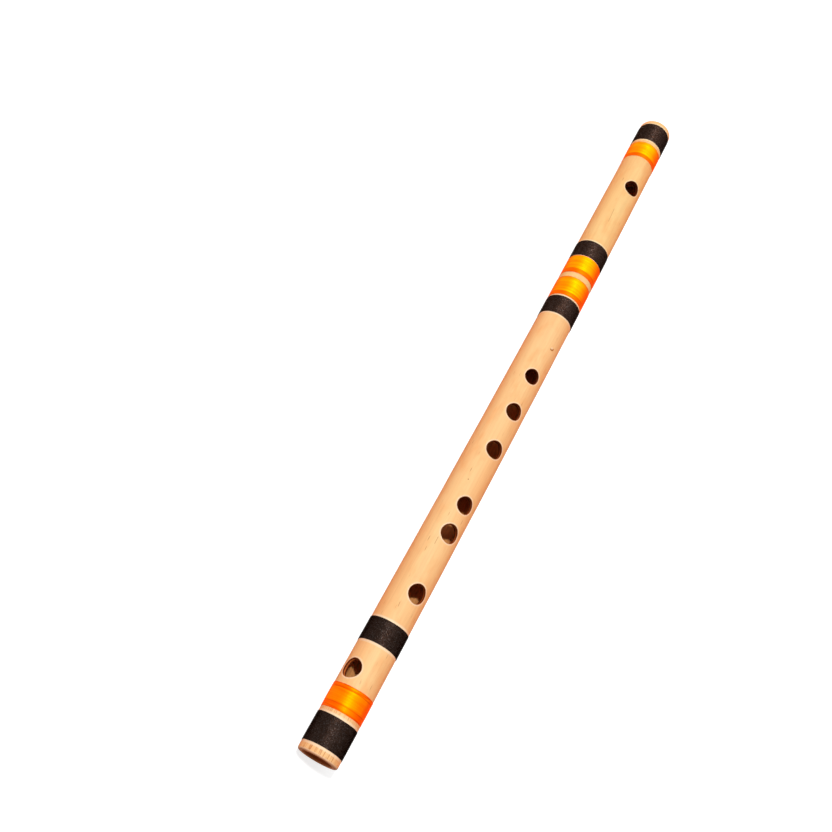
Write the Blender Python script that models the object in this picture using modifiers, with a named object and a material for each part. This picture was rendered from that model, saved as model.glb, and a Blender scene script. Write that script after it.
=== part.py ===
"""Bansuri: a side-blown bamboo flute with six finger holes and thread bindings.

Metres, +Z up. +X runs along the tube from its foot to its blowing end, and the finger holes face
up. The origin is on the surface that the flute lies on, under the middle of the tube.
Places along the tube are distances from its foot, unless a name says otherwise.
"""

import math
from collections import namedtuple

import bmesh
import bpy

# The bamboo tube, whose cane bows a little to the -Y side in the middle
TUBE_LENGTH = 0.480
FOOT_DIAMETER = 0.0218
HEAD_DIAMETER = 0.0222
BORE_DIAMETER = 0.0164
BOW = 0.0011
RIM_ROUNDING = 0.0010
BORE_LIP = 0.0005

# A hole has its place along the tube, its length along it, its width across it, and its turn in
# degrees from straight up towards +Y. The burnt-in holes stray a little from one line.
Hole = namedtuple("Hole", "place length width turn")
FINGER_HOLES = (
    Hole(place=0.0925, length=0.0106, width=0.0099, turn=-1.9),
    Hole(place=0.1303, length=0.0108, width=0.0101, turn=-1.5),
    Hole(place=0.1490, length=0.0101, width=0.0093, turn=-1.8),
    Hole(place=0.1878, length=0.0107, width=0.0102, turn=-1.3),
    Hole(place=0.2154, length=0.0105, width=0.0095, turn=1.8),
    Hole(place=0.2423, length=0.0100, width=0.0088, turn=3.6),
)
TUNING_HOLE = Hole(place=0.0439, length=0.0102, width=0.0104, turn=63.4)
BLOW_HOLE_TO_HEAD = 0.0675
BLOW_HOLE_LENGTH = 0.0115
BLOW_HOLE_WIDTH = 0.0104
BLOW_HOLE_TURN = 2.5
HOLE_ROUNDING = 0.0005

# The stopper, a cork that is pushed along the bore to tune the flute
STOPPER_SETBACK = 0.0165
STOPPER_LENGTH = 0.0150
STOPPER_CHAMFER = 0.0008
STOPPER_CLEARANCE = 0.0003

# The bindings: thread wound round the tube, black cotton or orange silk
COTTON_THICKNESS = 0.00026
SILK_THICKNESS = 0.00022
BINDING_CLEARANCE = 0.00015

# At the foot, counted from the foot's face
FOOT_MARGIN = 0.0044
FOOT_COTTON_WIDTH = 0.0152
FOOT_SILK_GAP = 0.0027
FOOT_SILK_WIDTH = 0.0131

# Between the tuning hole and the nearest finger hole, off the middle by its shift
LOW_COTTON_WIDTH = 0.0134
LOW_COTTON_SHIFT = -0.0020

# Four side by side between the last finger hole and the blow hole, off the middle by their shift
MIDDLE_SHIFT = -0.0044
MIDDLE_LOWER_COTTON_WIDTH = 0.0141
MIDDLE_LOWER_GAP = 0.0011
MIDDLE_LOWER_SILK_WIDTH = 0.0157
MIDDLE_BARE = 0.0041
MIDDLE_UPPER_SILK_WIDTH = 0.0151
MIDDLE_UPPER_GAP = 0.0003
MIDDLE_UPPER_COTTON_WIDTH = 0.0137

# At the blowing end, counted from that end's face
HEAD_MARGIN = 0.0039
HEAD_COTTON_WIDTH = 0.0168
HEAD_SILK_GAP = 0.0032
HEAD_SILK_WIDTH = 0.0149

# How finely round forms are cut
TUBE_FACETS = 48
STOPPER_FACETS = 32
HOLE_FACETS = 24
RIM_STEPS = 3
TUBE_STATIONS = 16
BORE_STATIONS = 12
SHARP_ANGLE = math.radians(30)
MERGE_DISTANCE = 0.00001
CUTTER_OVERSHOOT = 0.0020

# What follows from the sizes
BLOW_HOLE = Hole(
    place=TUBE_LENGTH - BLOW_HOLE_TO_HEAD,
    length=BLOW_HOLE_LENGTH,
    width=BLOW_HOLE_WIDTH,
    turn=BLOW_HOLE_TURN,
)
HEAD_COTTON_END = TUBE_LENGTH - HEAD_MARGIN


def tube_radius(place):
    """The tube's outer radius at a place along it, on its even taper."""
    share = place / TUBE_LENGTH
    return (FOOT_DIAMETER + (HEAD_DIAMETER - FOOT_DIAMETER) * share) / 2


def bow_offset(place):
    """How far the cane's middle line lies towards +Y at a place along it."""
    share = place / TUBE_LENGTH
    return -BOW * 4 * share * (1 - share)


# The flute lies on its widest binding, on one flat facet of it, and half the bow to each side
AXIS_HEIGHT = (
    tube_radius(HEAD_COTTON_END) + BINDING_CLEARANCE + COTTON_THICKNESS
) * math.cos(math.pi / TUBE_FACETS)
AXIS_SIDE = BOW / 2


def clear_scene():
    for obj in list(bpy.data.objects):
        bpy.data.objects.remove(obj)


def new_collection(name):
    collection = bpy.data.collections.new(name)
    bpy.context.scene.collection.children.link(collection)
    return collection


def new_material(name, colour, roughness):
    """A Principled material. The colour is linear red, green and blue."""
    material = bpy.data.materials.new(name)
    material.use_nodes = True
    shader = material.node_tree.nodes["Principled BSDF"]
    shader.inputs["Base Color"].default_value = (*colour, 1.0)
    shader.inputs["Roughness"].default_value = roughness
    shader.inputs["Metallic"].default_value = 0.0
    return material


def place_object(name, mesh, collection, parent, place=0.0):
    """An object on the tube's bowed middle line, with its origin at its place along it."""
    obj = bpy.data.objects.new(name, mesh)
    collection.objects.link(obj)
    obj.parent = parent
    obj.location = (place, bow_offset(place), 0.0)
    return obj


def turned_mesh(name, profile, facets):
    """A closed (along, radius) outline as a wire, half a facet round from straight down.

    With the wire there, a full turn about X leaves one flat facet lying underneath.
    """
    half_facet = math.pi / facets
    shape = bmesh.new()
    ring = [
        shape.verts.new((along, radius * math.sin(half_facet), -radius * math.cos(half_facet)))
        for along, radius in profile
    ]
    for first, second in zip(ring, ring[1:] + ring[:1]):
        shape.edges.new((first, second))
    mesh = bpy.data.meshes.new(name)
    shape.to_mesh(mesh)
    shape.free()
    return mesh


def make_turned(name, profile, facets, collection, parent, place=0.0):
    """A turned piece about the tube's middle line, bowed with the cane."""
    obj = place_object(name, turned_mesh(name, profile, facets), collection, parent, place)
    screw = obj.modifiers.new("turned", "SCREW")
    screw.axis = "X"
    screw.angle = math.tau
    screw.steps = facets
    screw.render_steps = facets
    screw.use_merge_vertices = True
    screw.merge_threshold = MERGE_DISTANCE
    apply_modifiers(obj)
    for vertex in obj.data.vertices:
        vertex.co.y += bow_offset(place + vertex.co.x) - bow_offset(place)
    return obj


def apply_modifiers(obj):
    """Makes the modifiers' result the object's own mesh."""
    bpy.context.view_layer.update()
    evaluated = obj.evaluated_get(bpy.context.evaluated_depsgraph_get())
    mesh = bpy.data.meshes.new_from_object(evaluated)
    mesh.name = obj.name
    obj.modifiers.clear()
    obj.data = mesh


def give_finish(obj, material):
    """Gives a piece its material, with its round faces shaded smooth up to their edges."""
    obj.data.materials.clear()
    obj.data.materials.append(material)
    obj.data.shade_smooth()
    obj.data.set_sharp_from_angle(angle=SHARP_ANGLE)


def corner_arc(along, radius, rounding, start, end):
    """Points of a rounded corner about (along, radius), with angles measured from outwards."""
    points = []
    for step in range(RIM_STEPS + 1):
        angle = math.radians(start + (end - start) * step / RIM_STEPS)
        points.append((along + rounding * math.sin(angle), radius + rounding * math.cos(angle)))
    return points


def between(start, end, steps):
    """The places that divide a stretch into even steps, without its two ends."""
    return [start + (end - start) * step / steps for step in range(1, steps)]


def tube_profile():
    """The wall's section: down the outside from the head to the foot, and back up the bore."""
    bore = BORE_DIAMETER / 2
    thinnest_wall = min(FOOT_DIAMETER, HEAD_DIAMETER) / 2 - bore
    rounding = min(RIM_ROUNDING, thinnest_wall * 0.4)
    lip = min(BORE_LIP, thinnest_wall * 0.2)
    head = corner_arc(
        TUBE_LENGTH - rounding, tube_radius(TUBE_LENGTH) - rounding, rounding, 90, 0
    )
    outside = [
        (place, tube_radius(place))
        for place in between(TUBE_LENGTH - rounding, rounding, TUBE_STATIONS)
    ]
    foot = corner_arc(rounding, tube_radius(0.0) - rounding, rounding, 0, -90)
    foot_lip = [(0.0, bore + lip), (lip, bore)]
    inside = [(place, bore) for place in between(lip, TUBE_LENGTH - lip, BORE_STATIONS)]
    head_lip = [(TUBE_LENGTH - lip, bore), (TUBE_LENGTH, bore + lip)]
    return head + outside + foot + foot_lip + inside + head_lip


def hole_cutter(name, hole, collection, parent):
    """An oval drill whose mouth flares to round the hole's edge evenly over the curved wall.

    Each ring of it has a height over the tube's surface, and a flare past the hole's own size.
    The lowest ring lies on the tube's axis, so the drill never reaches the far wall.
    """
    surface = tube_radius(hole.place)
    rings = (
        (-HOLE_ROUNDING, 0.0),
        (-HOLE_ROUNDING * 0.3, HOLE_ROUNDING * 0.3),
        (HOLE_ROUNDING, HOLE_ROUNDING * 1.6),
        (CUTTER_OVERSHOOT, HOLE_ROUNDING * 1.6),
    )
    shape = bmesh.new()
    loops = []
    for height, flare in ((-surface, 0.0), *rings):
        loop = []
        for step in range(HOLE_FACETS):
            angle = math.tau * step / HOLE_FACETS
            along = (hole.length / 2 + flare) * math.cos(angle)
            across = (hole.width / 2 + flare) * math.sin(angle)
            level = math.sqrt(surface**2 - across**2) + height if height > -surface else 0.0
            loop.append(shape.verts.new((along, across, level)))
        loops.append(loop)
    for lower, upper in zip(loops, loops[1:]):
        for step in range(HOLE_FACETS):
            after = (step + 1) % HOLE_FACETS
            shape.faces.new((lower[step], lower[after], upper[after], upper[step]))
    shape.faces.new(reversed(loops[0]))
    shape.faces.new(loops[-1])
    mesh = bpy.data.meshes.new(name)
    shape.to_mesh(mesh)
    shape.free()
    cutter = place_object(name, mesh, collection, parent, hole.place)
    cutter.rotation_euler = (-math.radians(hole.turn), 0.0, 0.0)
    cutter.hide_render = True
    cutter.display_type = "WIRE"
    return cutter


def make_tube(parts, cutters, parent, material):
    tube = make_turned("bamboo_tube", tube_profile(), TUBE_FACETS, parts, parent)
    for number, hole in enumerate(FINGER_HOLES, start=1):
        hole_cutter(f"finger_hole_{number}", hole, cutters, parent)
    hole_cutter("tuning_hole", TUNING_HOLE, cutters, parent)
    hole_cutter("blow_hole", BLOW_HOLE, cutters, parent)
    drill = tube.modifiers.new("holes", "BOOLEAN")
    drill.operation = "DIFFERENCE"
    drill.solver = "EXACT"
    drill.operand_type = "COLLECTION"
    drill.collection = cutters
    apply_modifiers(tube)
    give_finish(tube, material)


def make_stopper(parts, parent, material):
    """The cork sits past the blow hole, with its origin in the middle of its face to that hole."""
    radius = BORE_DIAMETER / 2 - STOPPER_CLEARANCE
    profile = [
        (STOPPER_LENGTH, 0.0),
        (STOPPER_LENGTH, radius - STOPPER_CHAMFER),
        (STOPPER_LENGTH - STOPPER_CHAMFER, radius),
        (STOPPER_CHAMFER, radius),
        (0.0, radius - STOPPER_CHAMFER),
        (0.0, 0.0),
    ]
    place = BLOW_HOLE.place + STOPPER_SETBACK
    stopper = make_turned("cork_stopper", profile, STOPPER_FACETS, parts, parent, place)
    give_finish(stopper, material)


def binding_profile(start, width, thickness):
    """A binding's section: it follows the tube's taper, and its first and last turns are round."""
    seat = [tube_radius(start + along) + BINDING_CLEARANCE for along in (0.0, width)]
    round_off = thickness * 0.6
    return [
        (width, seat[1]),
        (width, seat[1] + thickness - round_off),
        (width - round_off, seat[1] + thickness),
        (round_off, seat[0] + thickness),
        (0.0, seat[0] + thickness - round_off),
        (0.0, seat[0]),
    ]


def binding_places():
    """Each binding's name, start along the tube, width and thread."""
    low_gap_middle = (TUNING_HOLE.place + FINGER_HOLES[0].place) / 2
    middle_width = (
        MIDDLE_LOWER_COTTON_WIDTH
        + MIDDLE_LOWER_GAP
        + MIDDLE_LOWER_SILK_WIDTH
        + MIDDLE_BARE
        + MIDDLE_UPPER_SILK_WIDTH
        + MIDDLE_UPPER_GAP
        + MIDDLE_UPPER_COTTON_WIDTH
    )
    middle = (FINGER_HOLES[-1].place + BLOW_HOLE.place) / 2 + MIDDLE_SHIFT - middle_width / 2
    lower_silk = middle + MIDDLE_LOWER_COTTON_WIDTH + MIDDLE_LOWER_GAP
    upper_silk = lower_silk + MIDDLE_LOWER_SILK_WIDTH + MIDDLE_BARE
    upper_cotton = upper_silk + MIDDLE_UPPER_SILK_WIDTH + MIDDLE_UPPER_GAP
    head_cotton = HEAD_COTTON_END - HEAD_COTTON_WIDTH
    head_silk = head_cotton - HEAD_SILK_GAP - HEAD_SILK_WIDTH
    foot_silk = FOOT_MARGIN + FOOT_COTTON_WIDTH + FOOT_SILK_GAP
    return (
        ("foot_cotton_binding", FOOT_MARGIN, FOOT_COTTON_WIDTH, "cotton"),
        ("foot_silk_binding", foot_silk, FOOT_SILK_WIDTH, "silk"),
        ("low_cotton_binding", low_gap_middle + LOW_COTTON_SHIFT - LOW_COTTON_WIDTH / 2,
         LOW_COTTON_WIDTH, "cotton"),
        ("middle_lower_cotton_binding", middle, MIDDLE_LOWER_COTTON_WIDTH, "cotton"),
        ("middle_lower_silk_binding", lower_silk, MIDDLE_LOWER_SILK_WIDTH, "silk"),
        ("middle_upper_silk_binding", upper_silk, MIDDLE_UPPER_SILK_WIDTH, "silk"),
        ("middle_upper_cotton_binding", upper_cotton, MIDDLE_UPPER_COTTON_WIDTH, "cotton"),
        ("head_silk_binding", head_silk, HEAD_SILK_WIDTH, "silk"),
        ("head_cotton_binding", head_cotton, HEAD_COTTON_WIDTH, "cotton"),
    )


def make_bindings(parts, parent, threads):
    for name, start, width, thread in binding_places():
        material, thickness = threads[thread]
        profile = binding_profile(start, width, thickness)
        binding = make_turned(name, profile, TUBE_FACETS, parts, parent, start)
        give_finish(binding, material)


def main():
    clear_scene()
    parts = new_collection("bansuri")
    cutters = new_collection("bansuri_cutters")
    axis = bpy.data.objects.new("tube_axis", None)
    parts.objects.link(axis)
    axis.location = (-TUBE_LENGTH / 2, AXIS_SIDE, AXIS_HEIGHT)
    bamboo = new_material("bamboo", (0.86, 0.53, 0.25), 0.5)
    cork = new_material("cork", (0.50, 0.30, 0.15), 0.9)
    threads = {
        "cotton": (new_material("black_cotton", (0.018, 0.012, 0.010), 0.6), COTTON_THICKNESS),
        "silk": (new_material("orange_silk", (0.95, 0.25, 0.01), 0.35), SILK_THICKNESS),
    }
    make_tube(parts, cutters, axis, bamboo)
    make_stopper(parts, axis, cork)
    make_bindings(parts, axis, threads)


main()
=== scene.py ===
"""Looks of a bansuri, a side-blown bamboo flute: its cane, cork, thread bindings and a plain studio.

Metres, +Z up. The flute lies along X with its foot at -X, its finger holes up and its tuning hole
towards +Y. Places along it are distances from its foot. A turn is an angle round the tube, from
straight up towards +Y.
"""

import math
import random
from collections import namedtuple

import bpy
from bpy.props import FloatProperty, FloatVectorProperty, PointerProperty
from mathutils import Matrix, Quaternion, Vector


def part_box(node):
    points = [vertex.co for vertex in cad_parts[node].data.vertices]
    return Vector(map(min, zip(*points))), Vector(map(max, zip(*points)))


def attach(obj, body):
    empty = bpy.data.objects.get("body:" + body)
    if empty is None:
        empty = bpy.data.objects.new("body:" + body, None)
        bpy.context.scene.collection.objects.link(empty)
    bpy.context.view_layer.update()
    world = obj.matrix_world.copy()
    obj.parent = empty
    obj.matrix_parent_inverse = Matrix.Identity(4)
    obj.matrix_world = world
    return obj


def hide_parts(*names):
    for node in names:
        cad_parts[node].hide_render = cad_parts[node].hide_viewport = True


bl_info = {
    "name": "Bansuri",
    "version": (1, 0, 0),
    "blender": (4, 5, 0),
    "location": "3D View > Sidebar > Bansuri",
    "description": "Makes the cane, cork and thread bindings of a bansuri round its solids",
    "category": "Add Mesh",
}

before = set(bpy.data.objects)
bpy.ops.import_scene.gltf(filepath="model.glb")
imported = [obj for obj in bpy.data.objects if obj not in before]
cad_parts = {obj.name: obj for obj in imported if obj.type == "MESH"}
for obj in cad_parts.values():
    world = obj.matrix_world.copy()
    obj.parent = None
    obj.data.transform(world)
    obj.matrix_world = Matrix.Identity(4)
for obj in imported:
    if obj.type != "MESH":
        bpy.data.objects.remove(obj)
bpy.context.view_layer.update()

# The tube's solid. Its box gives its length and, with the facets of its rings, its width at the head.
CAD_FACETS = 48
TUBE_LOW, TUBE_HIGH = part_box("bamboo_tube")
TUBE_LENGTH = TUBE_HIGH.x - TUBE_LOW.x
AXIS_HEIGHT = (TUBE_LOW.z + TUBE_HIGH.z) / 2
HEAD_DIAMETER = (TUBE_HIGH.z - TUBE_LOW.z) / math.cos(math.pi / CAD_FACETS)
FOOT_DIAMETER = 0.0218
BORE_DIAMETER = 0.0164
# How far the tube's middle is bowed to the side of its ends, and how far to +Y the ends lie
BOW = 0.0011
AXIS_SIDE = BOW / 2

# A hole has its place along the tube, its length along it, its width across it, its turn in
# degrees, and how much the soot gives way to a painted highlight down the middle of its wall.
Hole = namedtuple("Hole", "place length width turn bare")
HOLES = (
    Hole(place=0.0439, length=0.0102, width=0.0104, turn=63.4, bare=0.85),
    Hole(place=0.0925, length=0.0106, width=0.0099, turn=-1.9, bare=0.6),
    Hole(place=0.1303, length=0.0108, width=0.0101, turn=-1.5, bare=0.6),
    Hole(place=0.1490, length=0.0101, width=0.0093, turn=-1.8, bare=0.4),
    Hole(place=0.1878, length=0.0107, width=0.0102, turn=-1.3, bare=0.4),
    Hole(place=0.2154, length=0.0105, width=0.0095, turn=1.8, bare=0.4),
    Hole(place=0.2423, length=0.0100, width=0.0088, turn=3.6, bare=0.2),
    Hole(place=0.4125, length=0.0115, width=0.0104, turn=2.5, bare=0.15),
)

# How finely the cane is cut: round it, along it, across its sawn ends and over its rounded rims
CANE_AROUND = 192
CANE_STATIONS = 384
FACE_RINGS = 4
CORNER_STEPS = 6
# How finely a hole is cut: over its rounded lip and down its wall
LIP_STEPS = 6
WALL_STEPS = 8
# The plain wall that a hole's rings spread over, along and round the tube, and where they lie in it
HOLE_SPREAD_ALONG = 0.0021
HOLE_SPREAD_ROUND = math.radians(13)
RING_SPREAD = (0.78, 0.56, 0.37, 0.22, 0.11, 0.04)
# How far from a hole the sanding reaches on the outside, and the scorching in the bore
SANDED_REACH = 0.0008
SCORCHED_REACH = 0.0016
# How sanded the outer rims are
RIM_SANDED = 0.8
# The stretch of a hole's lip over which the burn sets in, as shares of the lip
LIP_BURNT = (0.2, 0.8)
# How far down a hole's wall its painted highlight lies, and how far that spreads, as shares of the
# wall
WALL_HIGHLIGHT_DEPTH = 0.42
WALL_HIGHLIGHT_SPREAD = 0.16

# A wave in a surface or a thread: its size, its waves round the tube, and radians to the metre along
Wave = namedtuple("Wave", "size round along phase", defaults=(0.0,))
# Hand scraping leaves the cane this much out of round
SCRAPED_WAVES = (
    Wave(size=0.000020, round=2, along=90, phase=0.4),
    Wave(size=0.000016, round=3, along=-140, phase=2.1),
    Wave(size=0.000011, round=5, along=230, phase=4.0),
    Wave(size=0.000007, round=9, along=-370, phase=1.2),
)
# The turns of a thread stray along the tube in these waves, as shares of its waviness
STRAY_WAVES = (
    Wave(size=1.0, round=1, along=300),
    Wave(size=0.6, round=2, along=-620),
    Wave(size=0.45, round=3, along=1100),
    Wave(size=0.3, round=7, along=900),
)

# A kind of thread: how its solids' names end, its slot, the height of the grooves between its turns
# as a share of its thickness, how finely it is cut round the tube and across itself, and the angle
# in degrees past which its edges are sharp
Thread = namedtuple("Thread", "ending slot groove around across sharp_degrees")
COTTON = Thread("cotton_binding", "black_cotton", groove=0.86, around=96, across=6, sharp_degrees=60)
SILK = Thread("silk_binding", "orange_silk", groove=0.93, around=96, across=4, sharp_degrees=50)
# A thread's end is under the flute, at this turn, and the thread lies this close over the cane
WINDING_START = math.radians(170)
SEAT_GAP = 0.00001
# How much the thickness of single turns varies, as a share either way
UNEVEN = 0.10

# Where laps of the silk show: their place from the binding's edge nearest the foot, how far they
# swing along the tube and the turn in degrees that they swing to, their width, and the side on
# which the silk lies a layer lower: -1 towards the foot, 1 towards the head, 0 neither
Lap = namedtuple("Lap", "place swing turn width lower")
SILK_LAPS = {
    "foot_silk_binding": (
        Lap(place=0.0032, swing=0.0003, turn=60, width=0.00030, lower=-1),
        Lap(place=0.0012, swing=-0.0005, turn=-10, width=0.00022, lower=0),
        Lap(place=0.0106, swing=0.0006, turn=0, width=0.00022, lower=0),
        Lap(place=0.0128, swing=-0.0017, turn=62, width=0.00030, lower=1),
    ),
    "middle_lower_silk_binding": (Lap(place=0.0034, swing=-0.0002, turn=60, width=0.00030, lower=-1),),
    "middle_upper_silk_binding": (Lap(place=0.0035, swing=0.0001, turn=60, width=0.00034, lower=-1),),
    "head_silk_binding": (Lap(place=0.0031, swing=-0.0003, turn=60, width=0.00050, lower=-1),),
}
# A lap strays this many times as far as the turns do, and this sets its waves apart from theirs
LAP_STRAY = 2
LAP_WAVES_APART = 7
# How much thinner the silk is in a lap and in a lower layer, as a share
PRESSED = 0.3
# How far in from a binding's edges the silk is painted darker, as shade
EDGE_WIDTH = 0.0009
# Painted shade: the silk takes its deep colour on the side turned from the light, which comes from
# this turn; it has none of it up to the first of these angles from that turn and all of it past the
# second. In a lower layer it takes this share of the deep colour.
LIT_TURN = math.radians(35)
PAINTED_SHADE_REACH = (0.55, 1.4)
LOWER_DEEP = 0.7

# Small marks of use on the cane: (place, turn in degrees), or a line's two ends. A reach is how
# far off a mark is full and how far off it has gone.
SPECK = (0.1632, 28.0)
SPECK_REACH = (0.00022, 0.00045)
SCRATCHES = (
    ((0.1208, 24.5), (0.1250, 25.0)),
    ((0.3760, 23.0), (0.3880, 26.0)),
    ((0.0815, 30.0), (0.0840, 31.0)),
)
SCRATCH_REACH = (0.00011, 0.00027)
SCRATCH_STRENGTH = 0.55
# A nail has left a dark arc round a spot painted pale, as a highlight. The arc lies on one side of
# the spot's middle and sets in between these distances to that side.
NAIL_MARK = (0.2673, -9.6)
NAIL_HIGHLIGHT_REACH = (0.00036, 0.00096)
NAIL_ARC_RADIUS = 0.0012
NAIL_ARC_REACH = (0.00035, 0.00075)
NAIL_ARC_SIDE = (-0.8, -0.6, 0.0)
NAIL_ARC_START = (0.0001, 0.0005)

# Looks of the foot's side: how far from the foot each is full, and where it has gone
RIM_STAINED = (0.005, 0.007)
STRIP_STAINED = (0.0235, 0.0250)
# The bore near the foot takes the sawn end's colour as painted shade
BORE_PAINTED_SHADE = (0.004, 0.016)
THICKLY_FLECKED = (0.03, 0.12)
# Painted light on the threads: deeper silk and darker cotton near the foot, brighter cotton past it
LOWER_THREADS = (0.1, 0.2)
LOWER_CANE = (0.28, 0.33)
# Beside the cotton the varnish stops short: how far out the pale line is full, and has gone
PALE_LINE = (0.0007, 0.0014)

# How finely the cork is cut: round it, along it, across its faces and over its bevels
CORK_AROUND = 128
CORK_ROWS = 56
CORK_RINGS = 12
BEVEL_STEPS = 3
# The cork's pits: how many, the share of them in its faces, how far they reach, how deep they are
# as a share of that, the depth at which they are fully dark, and the seed of their places
PIT_COUNT = 150
PITS_IN_FACES = 0.3
PIT_REACH = (0.0003, 0.0009)
PIT_DEPTH = (0.1, 0.35)
PIT_DARK_DEPTH = 0.00015
PIT_SEED = 11

# The floor reaches this far from the flute to each side
FLOOR_REACH = 6.0
# The camera stands on the foot's side and looks down at this point of the floor
CAMERA_PLACE = (-0.2995, 0.1906, 0.4424)
CAMERA_AIM = (-0.0554, 0.0417, 0.0)
CAMERA_ROLL = math.radians(66.75)
CAMERA_LENS = 40.27
CAMERA_SHIFT = (-0.0009, 0.0004)
CAMERA_SENSOR = 36.0
CAMERA_CLIP = (0.01, 50.0)

# A pattern of noise: its features to the metre along each axis, the stretch of its values that is
# spread from 0 to 1, its octaves, and how strong the finer ones are
Pattern = namedtuple("Pattern", "scale low high detail roughness", defaults=(2.0, 0.5))
# In the cane, and the soot on it
BROAD_PATCHES = Pattern((11, 70, 70), 0.35, 0.65)
BLOTCHES = Pattern((60, 150, 150), 0.42, 0.68, 3.0, 0.55)
STREAKS = Pattern((18, 800, 800), 0.3, 0.7, 3.0, 0.6)
FIBRES = Pattern((90, 4200, 4200), 0.3, 0.7)
FLECK_PATCHES = Pattern((60, 130, 130), 0.40, 0.60, 1.0)
RIM_STREAKS = Pattern((60, 1500, 1500), 0.49, 0.59, 2.0, 0.6)
RIM_PATCHES = Pattern((90, 260, 260), 0.40, 0.60, 1.0)
SOOT = Pattern((900, 900, 900), 0.3, 0.7, 3.0)
# In the cotton and the silk
TWIST = Pattern((2200, 2200, 2200), 0.3, 0.7)
COTTON_PATCHES = Pattern((700, 250, 250), 0.3, 0.7)
GLINTS = Pattern((1100, 800, 800), 0.42, 0.62, 3.0, 0.65)
STRANDS = Pattern((2400, 40, 40), 0.3, 0.7, 3.0, 0.6)
FOLDS = Pattern((750, 38, 38), 0.46, 0.66, 3.0, 0.6)
# In the cork
CORK_GRAIN = Pattern((900, 900, 900), 0.3, 0.7, 4.0, 0.6)
PORES = Pattern((700, 1600, 1600), 0.60, 0.70)
# Cells to the metre, of the cane's flecks and of the fibre bundles in its sawn ends, and how far
# from a cell's middle each is full and has gone, as shares of the cell
FLECK_CELLS = (170, 1300, 1300)
FLECK_REACH = (0.12, 0.38)
BUNDLE_CELLS = (0, 1500, 1500)
BUNDLE_REACH = (0.16, 0.34)

# What every colour among the settings has
AS_COLOUR = {"subtype": "COLOR", "min": 0.0, "max": 1.0}


def waves_at(waves, place, turn):
    """What waves add up to at a place along the tube and a turn round it."""
    return sum(
        wave.size * math.sin(wave.round * turn + wave.along * place + wave.phase) for wave in waves
    )


def tube_radius(place):
    """The cane's outer radius at a place along it, on its even taper."""
    share = place / TUBE_LENGTH
    return (FOOT_DIAMETER + (HEAD_DIAMETER - FOOT_DIAMETER) * share) / 2


def scraped_radius(place, turn):
    """The cane's outer radius with the slight waves that scraping by hand leaves."""
    return tube_radius(place) + waves_at(SCRAPED_WAVES, place, turn)


def bore_radius(place, turn):
    """The bore's radius, which is the same at every place and turn."""
    return BORE_DIAMETER / 2


def middle_line(place):
    """The point of the tube's bowed middle line at a place along it."""
    share = place / TUBE_LENGTH
    side = AXIS_SIDE - BOW * 4 * share * (1 - share)
    return (place - TUBE_LENGTH / 2, side, AXIS_HEIGHT)


def on_tube(place, turn, radius):
    """The point at a radius from the middle line, at a place along it and a turn round it."""
    x, y, z = middle_line(place)
    return (x, y + radius * math.sin(turn), z + radius * math.cos(turn))


def mark_point(mark):
    """The point of the cane's surface at a mark's place and its turn in degrees."""
    place, degrees = mark
    turn = math.radians(degrees)
    return on_tube(place, turn, scraped_radius(place, turn))


def smooth_step(value, low, high):
    """0 below low, 1 above high, and an even curve between them."""
    share = min(1.0, max(0.0, (value - low) / (high - low)))
    return share * share * (3 - 2 * share)


# Pieces


class Draft:
    """A mesh in the making: its points, its faces, and named shares from 0 to 1 at each point."""

    def __init__(self, *names):
        self.points = []
        self.faces = []
        self.shares = {name: [] for name in names}

    def add(self, point, **shares):
        """Adds a point with its shares, and gives its number."""
        self.points.append(point)
        for name, values in self.shares.items():
            values.append(shares.get(name, 0.0))
        return len(self.points) - 1

    def join_loops(self, first, second):
        """Quads between two closed loops of as many points."""
        for here in range(len(first)):
            after = (here + 1) % len(first)
            self.faces.append((first[here], first[after], second[after], second[here]))


def new_piece(name, draft, material, sharp_degrees):
    """A smooth-shaded object of a draft, with its shares as attributes for the material."""
    mesh = bpy.data.meshes.new(name)
    mesh.from_pydata(draft.points, [], draft.faces)
    for share, values in draft.shares.items():
        mesh.attributes.new(share, "FLOAT", "POINT").data.foreach_set("value", values)
    mesh.materials.append(material)
    mesh.shade_smooth()
    mesh.set_sharp_from_angle(angle=math.radians(sharp_degrees))
    mesh.validate()
    piece = bpy.data.objects.new(name, mesh)
    bpy.context.scene.collection.objects.link(piece)
    return piece


def stand_for(piece, node, body):
    """The piece moves with the body and is shown for the node."""
    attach(piece, body)
    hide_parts(node)


def solids_ending(ending):
    """The solids whose names end alike, in the order of their names."""
    return [node for node in sorted(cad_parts) if node.endswith(ending)]


# Material nodes


def feed(tree, socket, value):
    """Links a socket to the one that feeds it, or sets it to a plain value, a colour as opaque."""
    if isinstance(value, bpy.types.NodeSocket):
        tree.links.new(value, socket)
    elif socket.type == "RGBA":
        socket.default_value = (*value[:3], 1.0)
    else:
        socket.default_value = value


def add_node(tree, kind, inputs=None, **settings):
    """A node with its settings and what feeds its inputs, which go by their names or numbers."""
    node = tree.nodes.new(kind)
    for name, value in settings.items():
        setattr(node, name, value)
    for key, value in (inputs or {}).items():
        feed(tree, node.inputs[key], value)
    return node


def dress(tree, shader, **sockets):
    """Feeds a shader's sockets, whose names have _ here where they have a space."""
    for name, value in sockets.items():
        feed(tree, shader.inputs[name.replace("_", " ")], value)


def new_material(name, **sockets):
    """A Principled material with plain values on its sockets: (material, tree, shader)."""
    material = bpy.data.materials.new(name)
    material.use_nodes = True
    tree = material.node_tree
    shader = tree.nodes["Principled BSDF"]
    dress(tree, shader, **sockets)
    return material, tree, shader


def object_place(tree):
    """Where a point of the piece is, in metres."""
    return add_node(tree, "ShaderNodeTexCoord").outputs["Object"]


def share_of(tree, name):
    """A share that the mesh holds at its points."""
    return add_node(tree, "ShaderNodeAttribute", attribute_name=name).outputs["Fac"]


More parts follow.
